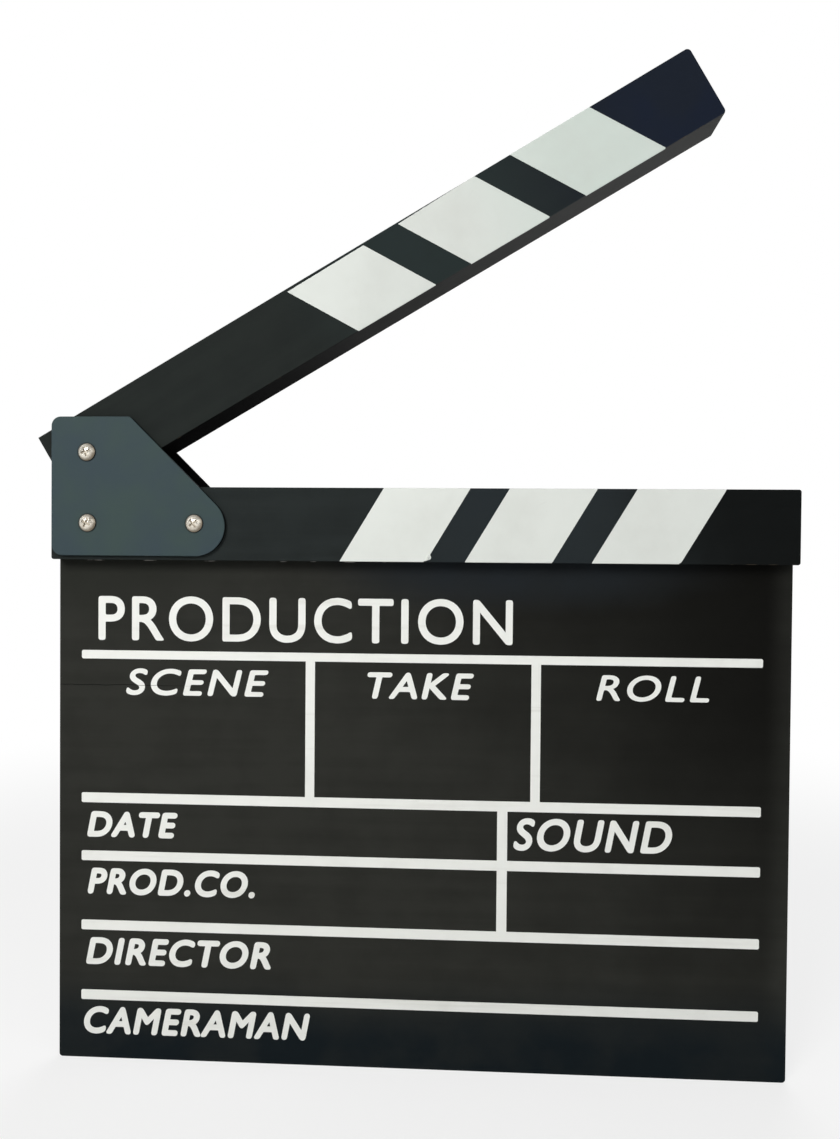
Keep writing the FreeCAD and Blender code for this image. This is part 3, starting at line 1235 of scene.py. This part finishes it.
@dataclass(frozen=True)
class Label:
    """A plain trade word printed on the board, in millimetres from the middle of its bottom edge.

    Attributes:
        word: The word.
        left: Where the word starts.
        base: Height of its base line.
        cap: Height of its capitals.
        width: Width of the word.
        growth: How far each stroke is grown to either side.
        stance: Upright or oblique.
        spacing: Spread of the letters.
        curve_steps: Steps in which a curved stroke is drawn.
        weld: Gap within which two points of the outline are one.
        longest_step: Longest step along a letter's outline.
        smoothing: How far one pass smooths the outline.
        rounding_passes: How often the outline is smoothed.
    """

    word: str
    left: float
    base: float
    cap: float
    width: float
    growth: float
    stance: Stance = Stance.OBLIQUE
    spacing: float = 1.12
    curve_steps: int = 6
    weld: float = 0.01
    longest_step: float = 0.35
    smoothing: float = 0.5
    rounding_passes: int = 7

    def build(self, face: float, thickness: float) -> Piece:
        """Models the word as a thin layer of ink.

        Args:
            face: Y of the board's front face, in metres.
            thickness: Thickness of the ink, in metres.

        Returns:
            The word's mesh, in place.
        """
        clear_selection()
        bpy.ops.object.text_add(location=(0.0, 0.0, 0.0))
        piece = bpy.context.object
        piece.name = "label_" + self.word.strip(".").replace(".", "_").lower()
        piece.data.body = self.word
        piece.data.shear = self.stance.value
        piece.data.space_character = self.spacing
        piece.data.resolution_u = self.curve_steps
        bpy.ops.object.convert(target="MESH")
        self.keep_outline(piece)
        self.fit_outline(piece)
        self.round_outline(piece)
        self.fill_strokes(piece, thickness / MM)
        # The strokes grow in depth too, so the ink is pressed back to its own thickness
        flatten = thickness / (thickness / MM + 2.0 * self.growth)
        piece.scale = (MM, MM, flatten)
        piece.rotation_euler = (math.pi / 2.0, 0.0, 0.0)
        piece.location = (self.left * MM, face - self.growth * flatten, self.base * MM)
        settle(piece)
        return piece

    def keep_outline(self, piece: Piece) -> None:
        """Leaves only the outlines of the filled letters.

        Args:
            piece: The word's flat mesh.
        """
        edit(piece)
        bpy.ops.mesh.select_mode(type="EDGE")
        bpy.ops.mesh.region_to_loop()
        bpy.ops.mesh.select_all(action="INVERT")
        bpy.ops.mesh.delete(type="EDGE_FACE")
        select_all()
        bpy.ops.mesh.delete(type="ONLY_FACE")
        stop_editing()

    def fit_outline(self, piece: Piece) -> None:
        """Sizes the outline so that the grown word starts at 0 and has its full size.

        Args:
            piece: The word's outline.
        """
        corners = [vertex.co for vertex in piece.data.vertices]
        low = Vector((min(c.x for c in corners), min(c.y for c in corners)))
        high = Vector((max(c.x for c in corners), max(c.y for c in corners)))
        stretch_x = (self.width - 2.0 * self.growth) / (high.x - low.x)
        stretch_y = (self.cap - 2.0 * self.growth) / (high.y - low.y)
        piece.scale = (stretch_x, stretch_y, 1.0)
        piece.location = (self.growth - low.x * stretch_x, self.growth - low.y * stretch_y, 0.0)
        settle(piece)

    def round_outline(self, piece: Piece) -> None:
        """Rounds the letters' corners, as ink pressed through a screen has them.

        Args:
            piece: The word's outline.
        """

        def too_long(edge: bpy.types.MeshEdge) -> bool:
            """Says whether an edge has to be cut before it can be rounded."""
            first, second = (piece.data.vertices[index].co for index in edge.vertices)
            return (first - second).length > self.longest_step

        edit(piece)
        bpy.ops.mesh.remove_doubles(threshold=self.weld)
        while pick(piece, MeshPart.EDGE, too_long):
            bpy.ops.mesh.subdivide(number_cuts=1)
        select_all()
        bpy.ops.mesh.vertices_smooth(factor=self.smoothing, repeat=self.rounding_passes)
        stop_editing()

    def fill_strokes(self, piece: Piece, height: float) -> None:
        """Fills the outline, raises it and grows the strokes on every side.

        Args:
            piece: The word's outline.
            height: How far it is raised before the strokes grow, in millimetres.
        """
        edit(piece)
        bpy.ops.mesh.fill(use_beauty=True)
        select_all()
        bpy.ops.mesh.extrude_region_move(TRANSFORM_OT_translate={"value": (0.0, 0.0, height)})
        select_all()
        bpy.ops.mesh.normals_make_consistent(inside=False)
        bpy.ops.transform.shrink_fatten(value=self.growth, use_even_offset=True)
        stop_editing()


# Word, left, base, cap height, width and growth of the strokes, in millimetres
LABELS = (
    Label("PRODUCTION", -133.5, 175.6, 18.8, 172.0, 0.3, Stance.UPRIGHT),
    Label("SCENE", -121.8, 152.95, 11.25, 60.1, 0.31),
    Label("TAKE", -20.9, 153.1, 10.95, 43.9, 0.37),
    Label("ROLL", 72.4, 153.6, 10.7, 45.4, 0.205),
    Label("DATE", -138.2, 93.25, 10.85, 38.6, 0.59),
    Label("SOUND", 39.5, 91.75, 13.5, 64.1, 0.455),
    Label("PROD.CO.", -138.0, 69.05, 11.3, 71.0, 0.545),
    Label("DIRECTOR", -138.6, 39.4, 11.65, 78.5, 0.54),
    Label("CAMERAMAN", -139.4, 10.15, 11.7, 95.8, 0.54),
)


@dataclass
class Slate:
    """The painted board with its printed rules and labels, in metres.

    Attributes:
        nodes: CAD nodes by name.
        fibres: Grain of the board.
        haze_and_light: Where chalk and painted light grey the board's paint.
        tints: Painted shade, bluish, along the bottom; painted light, bluish, that lifts the bar's shadow
            below its middle; and painted shadow, greyer, at the top left.
        ink_thickness: Thickness of the print.
        crack_level: Height of the hairline crack above the board's bottom edge.
        crack_end: X at which the crack runs out.
        dust_drop: How far below the bar the line of dust lies.
        dust_end: X at which the dust runs out.
        dust_wander: How far the dust strays upwards.
        dust_width: How far it reaches to either side.
        dust_broken: How far it is broken up.
    """

    nodes: dict[str, Piece]
    fibres: Fibres = Fibres((22.0, 420.0, 480.0))
    haze_and_light: HazeAndPaintedLight = HazeAndPaintedLight(full=-0.03, gone=0.22, rest=0.0, lean=0.8, rim=0.5)
    # Painted shade along the bottom, painted light under the bar's middle, painted shadow at the top left
    tints: tuple[Tint, ...] = (
        Tint((0.0, -0.11), (EVERYWHERE, 0.042), (0.0075, 0.0114, 0.0140, 1.0)),
        Tint((0.038, 0.1), (0.095, 0.024), (0.0155, 0.0190, 0.0222, 1.0)),
        Tint((-0.14, 0.1), (0.09, 0.03), (0.0215, 0.0226, 0.0192, 1.0)),
    )
    ink_thickness: float = 0.08 * MM
    crack_level: float = 156.0 * MM
    crack_end: float = -86.0 * MM
    dust_drop: float = 0.8 * MM
    dust_end: float = 5.0 * MM
    dust_wander: float = 1.1 * MM
    dust_width: float = 0.3 * MM
    dust_broken: float = 0.53

    def build(self) -> list[Piece]:
        """Dresses the board and prints the labels on it.

        Returns:
            The printed labels.
        """
        block = Block.of_node("slate_board")
        middle_x, _, middle_z = block.centre
        crack = Hairline(self.crack_level - middle_z, self.crack_end - middle_x)
        dust_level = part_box("fixed_bar")[0][2] - self.dust_drop
        dust = Hairline(
            dust_level - middle_z, self.dust_end - middle_x,
            self.dust_wander, self.dust_width, self.dust_broken,
        )
        paint = BlackPaint(
            "board paint", block, self.fibres, self.haze_and_light, tints=self.tints, crack=crack, dust=dust
        )
        ink = WhitePrint("white print", block, crack).material()
        dress(self.nodes["slate_board"], paint.material())
        dress(self.nodes["printed_rules"], ink)
        face = block.centre[1] - block.half[1]
        pieces = []
        for label in LABELS:
            piece = label.build(face, self.ink_thickness)
            dress(piece, ink)
            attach(piece, "slate")
            pieces.append(piece)
        return pieces


# Rails and film


@dataclass(frozen=True)
class Pull:
    """A pinch of loose film that is drawn off the wood, measured from the loose corner, in metres.

    Attributes:
        inset: How far in from the strip's side it lies.
        rise: How far along that side it lies.
        out: How far it is drawn past the side.
        lift: How far it is drawn off the wood.
        size: Radius of the film that it takes along.
    """

    inset: float
    rise: float
    out: float
    lift: float
    size: float


@dataclass(frozen=True)
class FilmStripe:
    """One strip of white film, lapped over the rail's edges, with one corner worn round or come loose.

    Attributes:
        node: CAD node that it stands for.
        body: Body that it rides on.
        corner: Which corner is worn, as signs along the rail and up it.
        radius: Radius of the worn corner.
        corner_steps: Steps in which that corner is rounded.
        pulls: Pinches of loose film at that corner.
        trim: How far short of the far edge the film is cut, on the worn corner's side and on the other.
        cuts: How many cuts each way let the loose film curl.
        cut_step: Spacing of those cuts.
        edge: Radius of the rail's edges.
        brim: How far below its top a point still belongs to the film's far end.
        lap_deg: How far round the rail's edges the film reaches.
        lap_steps: Steps in which it goes round.
        facing: Least cosine between a face's normal and the way that it faces.
        flat_deg: Turn up to which two faces are one.
        crease_deg: Turn past which two faces meet in a crease.
    """

    node: str
    body: str
    corner: tuple[int, int] = (1, -1)
    radius: float = 0.25 * MM
    corner_steps: int = 5
    pulls: tuple[Pull, ...] = ()
    trim: Pair | None = None
    cuts: int = 20
    cut_step: float = 0.2 * MM
    edge: float = 0.3 * MM
    brim: float = 0.03 * MM
    lap_deg: float = 66.0
    lap_steps: int = 3
    facing: float = 0.99
    flat_deg: float = 1.0
    crease_deg: float = 18.0

    def build(self, source: Piece, block: Block) -> Piece:
        """Models the film from its CAD solid.

        Args:
            source: Object of the CAD node.
            block: The rail that carries it.

        Returns:
            The film's mesh, in place.
        """
        piece = bpy.data.objects.new(self.node.replace("stripe", "film"), source.data.copy())
        bpy.context.collection.objects.link(piece)
        take_up(piece)
        bpy.ops.mesh.customdata_custom_splitnormals_clear()
        edit(piece)
        bpy.ops.mesh.remove_doubles(threshold=WELD)
        bpy.ops.mesh.dissolve_limited(angle_limit=math.radians(self.flat_deg))
        rail = Matrix.Rotation(block.turn, 3, "Y")
        along = rail @ Vector((self.corner[0], 0.0, 0.0))
        end = rail @ Vector((0.0, 0.0, self.corner[1]))
        tip, side = self.find_corner(piece, along, end)
        bpy.ops.mesh.bevel(offset=self.radius, segments=self.corner_steps, affect="EDGES", clamp_overlap=True)
        for way in (end, -end):
            self.lap(piece, way)
        if self.trim:
            self.cut_back(piece, along, -end)
        if self.pulls:
            self.cut_corner(tip, side, end)
        for pull in self.pulls:
            self.draw_off(piece, tip + side * pull.rise - along * pull.inset, along, pull)
        select_all()
        bpy.ops.mesh.normals_make_consistent(inside=False)
        stop_editing()
        bpy.ops.object.shade_smooth_by_angle(angle=math.radians(self.crease_deg))
        return piece

    def find_corner(self, piece: Piece, along: Vector, end: Vector) -> tuple[Vector, Vector]:
        """Finds the worn corner and selects its short edge through the film.

        Args:
            piece: The film, in edit mode.
            along: Direction along the rail to that corner.
            end: Direction across the rail to that corner.

        Returns:
            The corner and the direction in which the strip's side runs away from it.
        """
        spots = points(piece)
        tip = max(spots, key=lambda spot: spot.dot(along + end))
        middle = sum(spots, Vector()) / len(spots)
        beyond = [spot for spot in spots if (spot - middle).dot(end) < 0.0]
        far = max(beyond, key=lambda spot: spot.dot(along))
        at_tip = [(spot - tip).xz.length < self.edge for spot in spots]
        pick(piece, MeshPart.EDGE, lambda edge: all(at_tip[index] for index in edge.vertices))
        side = far - tip
        side.y = 0.0
        return tip, side.normalized()

    def lap(self, piece: Piece, way: Vector) -> None:
        """Carries one end of the film on round the rail's edge.

        Args:
            piece: The film, in edit mode.
            way: Direction in which that end faces.
        """
        pick(piece, MeshPart.FACE, lambda face: face.normal.dot(way) > self.facing)
        angles = [math.radians(self.lap_deg) * step / self.lap_steps for step in range(self.lap_steps + 1)]
        for first, second in zip(angles, angles[1:]):
            rise = way * self.edge * (math.sin(second) - math.sin(first))
            sink = INTO * self.edge * (math.cos(first) - math.cos(second))
            bpy.ops.mesh.extrude_region_move(TRANSFORM_OT_translate={"value": rise + sink})

    def cut_back(self, piece: Piece, along: Vector, far: Vector) -> None:
        """Cuts the film off short of the rail's far edge, a little askew.

        Args:
            piece: The film, in edit mode.
            along: Direction along the rail to the worn corner.
            far: Direction across the rail to the far edge.
        """
        spots = points(piece)
        top = max(spot.dot(far) for spot in spots)
        brim = [spot for spot in spots if spot.dot(far) > top - self.brim]
        brim.sort(key=lambda spot: spot.dot(along))
        near_end = brim[-1] - far * self.trim[0]
        other_end = brim[0] - far * self.trim[1]
        normal = (other_end - near_end).cross(INTO).normalized()
        normal *= math.copysign(1.0, normal.dot(far))
        select_all()
        bpy.ops.mesh.bisect(
            plane_co=near_end, plane_no=normal, use_fill=True, clear_outer=True, threshold=WELD
        )

    def cut_corner(self, tip: Vector, side: Vector, end: Vector) -> None:
        """Cuts the film in fine strips along its side and along its end, near the corner.

        Args:
            tip: The corner.
            side: Direction in which the strip's side runs away from it.
            end: Direction across the rail to it.
        """
        for step in range(1, self.cuts + 1):
            for inward in (side.cross(INTO), -end):
                select_all()
                bpy.ops.mesh.bisect(plane_co=tip + inward * step * self.cut_step, plane_no=inward)

    def draw_off(self, piece: Piece, spot: Vector, along: Vector, pull: Pull) -> None:
        """Draws the film nearest to a spot off the wood, with the film round it.

        Args:
            piece: The film, in edit mode.
            spot: Where it is pinched.
            along: Direction along the rail past the strip's side.
            pull: How far it is drawn.
        """
        gaps = [(place - spot).length for place in points(piece)]
        nearest = gaps.index(min(gaps))
        pick(piece, MeshPart.VERT, lambda vertex: vertex.index == nearest)
        bpy.ops.transform.translate(
            value=along * pull.out - INTO * pull.lift,
            use_proportional_edit=True,
            proportional_edit_falloff="SMOOTH",
            proportional_size=pull.size,
        )


# The loose corner of the bar's first strip, drawn past its side and lifted in two places
EAR = (
    Pull(inset=0.0, rise=1.4 * MM, out=1.3 * MM, lift=0.0, size=2.2 * MM),
    Pull(inset=0.05 * MM, rise=1.0 * MM, out=0.0, lift=0.8 * MM, size=1.0 * MM),
    Pull(inset=0.05 * MM, rise=2.0 * MM, out=0.0, lift=0.8 * MM, size=1.0 * MM),
)

# The strips of film on the bar and on the stick, from the hinge outwards
STRIPES = (
    FilmStripe("bar_stripe_1", "slate", radius=1.3 * MM, pulls=EAR),
    FilmStripe("bar_stripe_2", "slate"),
    FilmStripe("bar_stripe_3", "slate", radius=0.8 * MM),
    FilmStripe("stick_stripe_1", "stick", (-1, -1), trim=(1.3 * MM, 1.0 * MM)),
    FilmStripe("stick_stripe_2", "stick", trim=(0.0, 0.8 * MM)),
    FilmStripe("stick_stripe_3", "stick"),
)


@dataclass
class Rails:
    """The fixed bar and the clapping stick, with their white film, in metres.

    Attributes:
        nodes: CAD nodes by name.
        pivot: Hinge point.
        opening: How far the stick stands open at rest, in radians.
        closing_gap: Gap between the closed stick and the bar.
        heel_reach: How far the stick's heel reaches past its round, which is centred on the hinge.
        tip_overhang: How far the closed stick's tip reaches past the bar.
        fibres: Grain of both rails.
        gloss: Specular level of the paint.
        bar_deep: Clean paint of the bar.
        bar_grey: Paint of the bar under the handling and painted light.
        bar_haze_and_light: Where handling and painted light grey the bar's paint.
        bar_tints: Bluish paint between the bar's strips of film.
        stick_deep: Clean paint of the stick.
        stick_grey: Paint of the stick under the handling and painted light.
        stick_haze_and_light: Where handling and painted light grey the stick's paint.
        stick_tints: Greener paint between the stick's strips of film, and bluer paint at its tip.
        underside_light: Painted light and shade on the stick's underside.
        stick_clean: Film on the stick as it was cut.
        stick_handled: Film on the stick greyed by handling.
        film_tints: Greener film towards the stick's tip.
    """

    nodes: dict[str, Piece]
    pivot: Vector
    opening: float
    closing_gap: float = 0.3 * MM
    heel_reach: float = 1.95 * MM
    tip_overhang: float = 1.9 * MM
    fibres: Fibres = Fibres((24.0, 520.0, 520.0))
    gloss: float = 0.02
    bar_deep: Colour = (0.0042, 0.0046, 0.0046, 1.0)
    bar_grey: Colour = (0.0216, 0.0260, 0.0258, 1.0)
    bar_haze_and_light: HazeAndPaintedLight = HazeAndPaintedLight(full=0.05, gone=0.13, rest=0.15)
    bar_tints: tuple[Tint, ...] = (
        Tint((0.045, 0.0), (0.075, EVERYWHERE), (0.0205, 0.0260, 0.0290, 1.0)),
    )
    stick_deep: Colour = (0.0085, 0.0095, 0.0105, 1.0)
    stick_grey: Colour = (0.0188, 0.0222, 0.0208, 1.0)
    stick_haze_and_light: HazeAndPaintedLight = HazeAndPaintedLight(full=0.05, gone=0.13, rest=0.8)
    stick_tints: tuple[Tint, ...] = (
        Tint((0.03, 0.0), (0.075, EVERYWHERE), (0.0205, 0.0285, 0.0285, 1.0)),
        Tint((0.155, 0.0), (0.11, EVERYWHERE), (0.0112, 0.0155, 0.0277, 1.0)),
    )
    underside_light: PaintedUndersideLight = PaintedUndersideLight(start=-0.1, end=0.12)
    stick_clean: Colour = (0.650, 0.678, 0.645, 1.0)
    stick_handled: Colour = (0.513, 0.528, 0.492, 1.0)
    film_tints: tuple[Tint, ...] = (
        Tint((0.1, 0.0), (0.065, EVERYWHERE), (0.590, 0.657, 0.611, 1.0)),
    )

    def stick_block(self, bar: Block) -> Block:
        """Works out the stick's frame from the bar and the hinge.

        Args:
            bar: The fixed bar, which is as high as the stick.

        Returns:
            The stick as a block.
        """
        low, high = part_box("clap_stick")
        foot = bar.centre[2] + bar.half[2] + self.closing_gap
        heel = self.pivot.x - (self.pivot.z - foot) - self.heel_reach
        tip = bar.centre[0] + bar.half[0] + self.tip_overhang
        closed = Vector(((heel + tip) / 2.0, 0.0, foot + bar.half[2]))
        turned = Matrix.Rotation(-self.opening, 3, "Y") @ (closed - self.pivot)
        half = ((tip - heel) / 2.0, (high[1] - low[1]) / 2.0, bar.half[2])
        return Block(tuple(self.pivot + turned), half, -self.opening)

    def build(self) -> list[Piece]:
        """Dresses both rails and lays the film on them.

        Returns:
            The six strips of film.
        """
        bar = Block.of_node("fixed_bar")
        stick = self.stick_block(bar)
        bar_paint = BlackPaint(
            "bar paint", bar, self.fibres, self.bar_haze_and_light,
            deep=self.bar_deep, grey=self.bar_grey, gloss=self.gloss, tints=self.bar_tints,
        )
        stick_paint = BlackPaint(
            "stick paint", stick, self.fibres, self.stick_haze_and_light,
            deep=self.stick_deep, grey=self.stick_grey, gloss=self.gloss,
            tints=self.stick_tints, underside_light=self.underside_light,
        )
        dress(self.nodes["fixed_bar"], bar_paint.material())
        dress(self.nodes["clap_stick"], stick_paint.material())
        bar_film = WhiteFilm("bar film", bar)
        stick_film = WhiteFilm("stick film", stick, self.stick_clean, self.stick_handled, self.film_tints)
        carriers = {"slate": bar, "stick": stick}
        films = {"slate": bar_film.material(), "stick": stick_film.material()}
        pieces = []
        for stripe in STRIPES:
            piece = stripe.build(self.nodes[stripe.node], carriers[stripe.body])
            dress(piece, films[stripe.body])
            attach(piece, stripe.body)
            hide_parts(stripe.node)
            pieces.append(piece)
        return pieces


# Hinge


@dataclass
class Hinge:
    """The two hinge plates with their screws, posts and washers.

    Attributes:
        nodes: CAD nodes by name.
        crown: Height of a domed head above its rim, in metres.
    """

    nodes: dict[str, Piece]
    crown: float = 1.5 * MM

    def plating(self, node: str) -> Nickel:
        """Works out the plating of a screw or post from its box.

        Args:
            node: Name of the CAD node, whose head is its widest part.

        Returns:
            The plating, which knows the ball of the domed head.
        """
        low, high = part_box(node)
        head = Head.of_node(node)
        ball = (head.rim ** 2 + self.crown ** 2) / (2.0 * self.crown)
        depth = low[1] + ball if "screw" in node else high[1] - ball
        return Nickel(node.replace("_", " ") + " plating", head, depth, ball)

    def build(self) -> list[Piece]:
        """Dresses the hinge's pieces.

        Returns:
            The dressed pieces.
        """
        nylon = Nylon().material()
        heads = tuple(Head.of_node(name) for name in self.nodes if "screw" in name)
        pieces = []
        for name, piece in self.nodes.items():
            if name.endswith("hinge_plate"):
                block = Block.of_node(name)
                inner = -math.copysign(1.0, block.centre[1])
                coating = CoatedSteel(name.replace("_", " ") + " coating", block, inner, heads)
                dress(piece, coating.material())
            elif "screw" in name or "post" in name:
                dress(piece, self.plating(name).material())
            elif name.endswith("washer"):
                dress(piece, nylon)
            else:
                continue
            pieces.append(piece)
        return pieces


# Studio


@dataclass(frozen=True)
class Lamp:
    """A square soft box that looks at a point.

    Attributes:
        name: Name of the lamp.
        spot: Where it stands, in metres.
        side: Side of its square, in metres.
        watts: Its power.
        tint: Colour of its light.
        aim: What it points at, in metres.
    """

    name: str
    spot: Triple
    side: float
    watts: float
    tint: Triple = (1.0, 1.0, 1.0)
    aim: Triple = (0.0, 0.0, 0.2)

    def build(self) -> None:
        """Adds the lamp to the scene."""
        clear_selection()
        bpy.ops.object.light_add(type="AREA", location=self.spot)
        lamp = bpy.context.object
        lamp.name = self.name
        lamp.data.size = self.side
        lamp.data.energy = self.watts
        lamp.data.color = self.tint
        away = Vector(self.aim) - Vector(self.spot)
        lamp.rotation_euler = away.to_track_quat("-Z", "Y").to_euler()


@dataclass
class Studio:
    """Pale floor, soft lamps, white surroundings and the camera.

    Attributes:
        floor_side: Side of the floor, in metres.
        floor_tones: The two tones of the floor's paper.
        floor_grain: Scale and octaves of that paper.
        floor_rough: Roughness of the floor.
        whiteness: Distances from the middle between which the floor turns white, and how white it is there.
        ambient: Strength of the surroundings as light on the object.
        front_gloss: Strength of the room behind the camera in reflections.
        gloss_turn: Depths along Y, from the camera's side, between which the room's strength grows to 1.
        eye: Where the camera stands, in metres.
        yaw: Camera's turn to the left, in degrees.
        pitch: Camera's tilt upwards, in degrees.
        roll: Camera's lean, in degrees.
        lens: Focal length, in millimetres.
        frame_height: Height of the camera's frame, in millimetres.
        nearest: How near to the camera things still show, in metres.
        lamps: The soft boxes.
    """

    floor_side: float = 12.0
    floor_tones: tuple[Colour, Colour] = ((0.84, 0.84, 0.84, 1.0), (0.86, 0.86, 0.86, 1.0))
    floor_grain: Pair = (700.0, 3.0)
    floor_rough: float = 0.9
    whiteness: Ramp = (0.3, 0.75, 0.72, 1.0)
    ambient: float = 0.28
    front_gloss: float = 0.35
    gloss_turn: Pair = (-0.9, 0.3)
    eye: Triple = (0.01661, -0.33944, 0.21155)
    yaw: float = 2.728
    pitch: float = -0.882
    roll: float = 0.464
    lens: float = 26.156
    frame_height: float = 36.0
    nearest: float = 0.01
    lamps: tuple[Lamp, ...] = (
        Lamp("key", (-0.32, -0.62, 0.52), side=0.28, watts=3.6, tint=(1.0, 0.99, 0.965)),
        Lamp("fill", (0.9, -0.8, 0.7), side=0.9, watts=3.3, tint=(0.94, 0.975, 1.0)),
        Lamp("back", (0.3, 1.1, 1.0), side=1.0, watts=8.0),
    )

    def build(self) -> None:
        """Sets up the floor, the light and the camera."""
        self.lay_floor()
        self.light_world()
        for lamp in self.lamps:
            lamp.build()
        self.stand_camera()
        bpy.context.scene.view_settings.view_transform = "Standard"

    def look(self, graph: Graph) -> tuple[Value, Value]:
        """Marks the camera's own rays, and those that it sees mirrored or through glass."""
        path = graph.put("ShaderNodeLightPath").outputs
        return path["Is Camera Ray"], graph.larger(path["Is Glossy Ray"], path["Is Transmission Ray"])

    def lay_floor(self) -> None:
        """Lays the pale floor that keeps the object's shadow."""
        clear_selection()
        bpy.ops.mesh.primitive_plane_add(size=self.floor_side)
        floor = bpy.context.object
        floor.name = "floor"
        material, graph, shader = begin_finish("pale floor")
        spot = graph.spot()
        paper = graph.noise(spot, *self.floor_grain)
        graph.feed(shader["Base Color"], graph.blend(paper, *self.floor_tones))
        shader["Roughness"].default_value = self.floor_rough
        shader["Specular IOR Level"].default_value = 0.0
        lit = material.node_tree.nodes["Principled BSDF"].outputs[0]
        white = graph.put("ShaderNodeEmission", {"Color": WHITE}).outputs[0]
        whiteness = graph.ease(graph.gauge("LENGTH", spot), *self.whiteness)
        share = graph.times(graph.larger(*self.look(graph)), whiteness)
        surface = graph.put("ShaderNodeMixShader", {0: share, 1: lit, 2: white}).outputs[0]
        graph.feed(material.node_tree.nodes["Material Output"].inputs["Surface"], surface)
        dress(floor, material)

    def light_world(self) -> None:
        """Makes surroundings that look white and light the object evenly."""
        world = bpy.data.worlds.new("white room")
        bpy.context.scene.world = world
        world.use_nodes = True
        graph = Graph(world.node_tree)
        background = world.node_tree.nodes["Background"].inputs
        straight, mirrored = self.look(graph)
        way = graph.split(graph.put("ShaderNodeTexCoord").outputs["Generated"])
        gloss = graph.ease(way["Y"], *self.gloss_turn, self.front_gloss, 1.0)
        level = graph.larger(graph.times(mirrored, gloss), straight)
        graph.feed(background["Strength"], graph.larger(level, self.ambient))
        background["Color"].default_value = WHITE

    def stand_camera(self) -> None:
        """Stands the camera at the photograph's place and angle."""
        clear_selection()
        bpy.ops.object.camera_add(location=self.eye)
        camera = bpy.context.object
        level = Euler((math.radians(90.0 + self.pitch), 0.0, math.radians(self.yaw))).to_matrix()
        lean = Matrix.Rotation(math.radians(self.roll), 3, "Z")
        camera.rotation_euler = (level @ lean).to_euler()
        camera.data.sensor_fit = "VERTICAL"
        camera.data.sensor_height = self.frame_height
        camera.data.lens = self.lens
        camera.data.clip_start = self.nearest
        bpy.context.scene.camera = camera


def main() -> None:
    """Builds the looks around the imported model."""
    logging.basicConfig(level=logging.INFO, format="%(name)s: %(message)s")
    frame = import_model()
    for effect in (Wear, Fibres, Specks, Scuffs, Hairline):
        effect.make()
    nodes = frame["nodes"]
    joint = next(joint for joint in frame["joints"] if joint["name"] == "stick_hinge")
    opening = -math.radians(joint["range_deg"][0])
    sub_assemblies = (
        Slate(nodes),
        Rails(nodes, Vector(joint["pos_m"]), opening),
        Hinge(nodes),
    )
    for sub_assembly in sub_assemblies:
        for piece in sub_assembly.build():
            LOG.info("%s: %s", type(sub_assembly).__name__.lower(), piece.name)
    Studio().build()


if __name__ == "__main__":
    main()
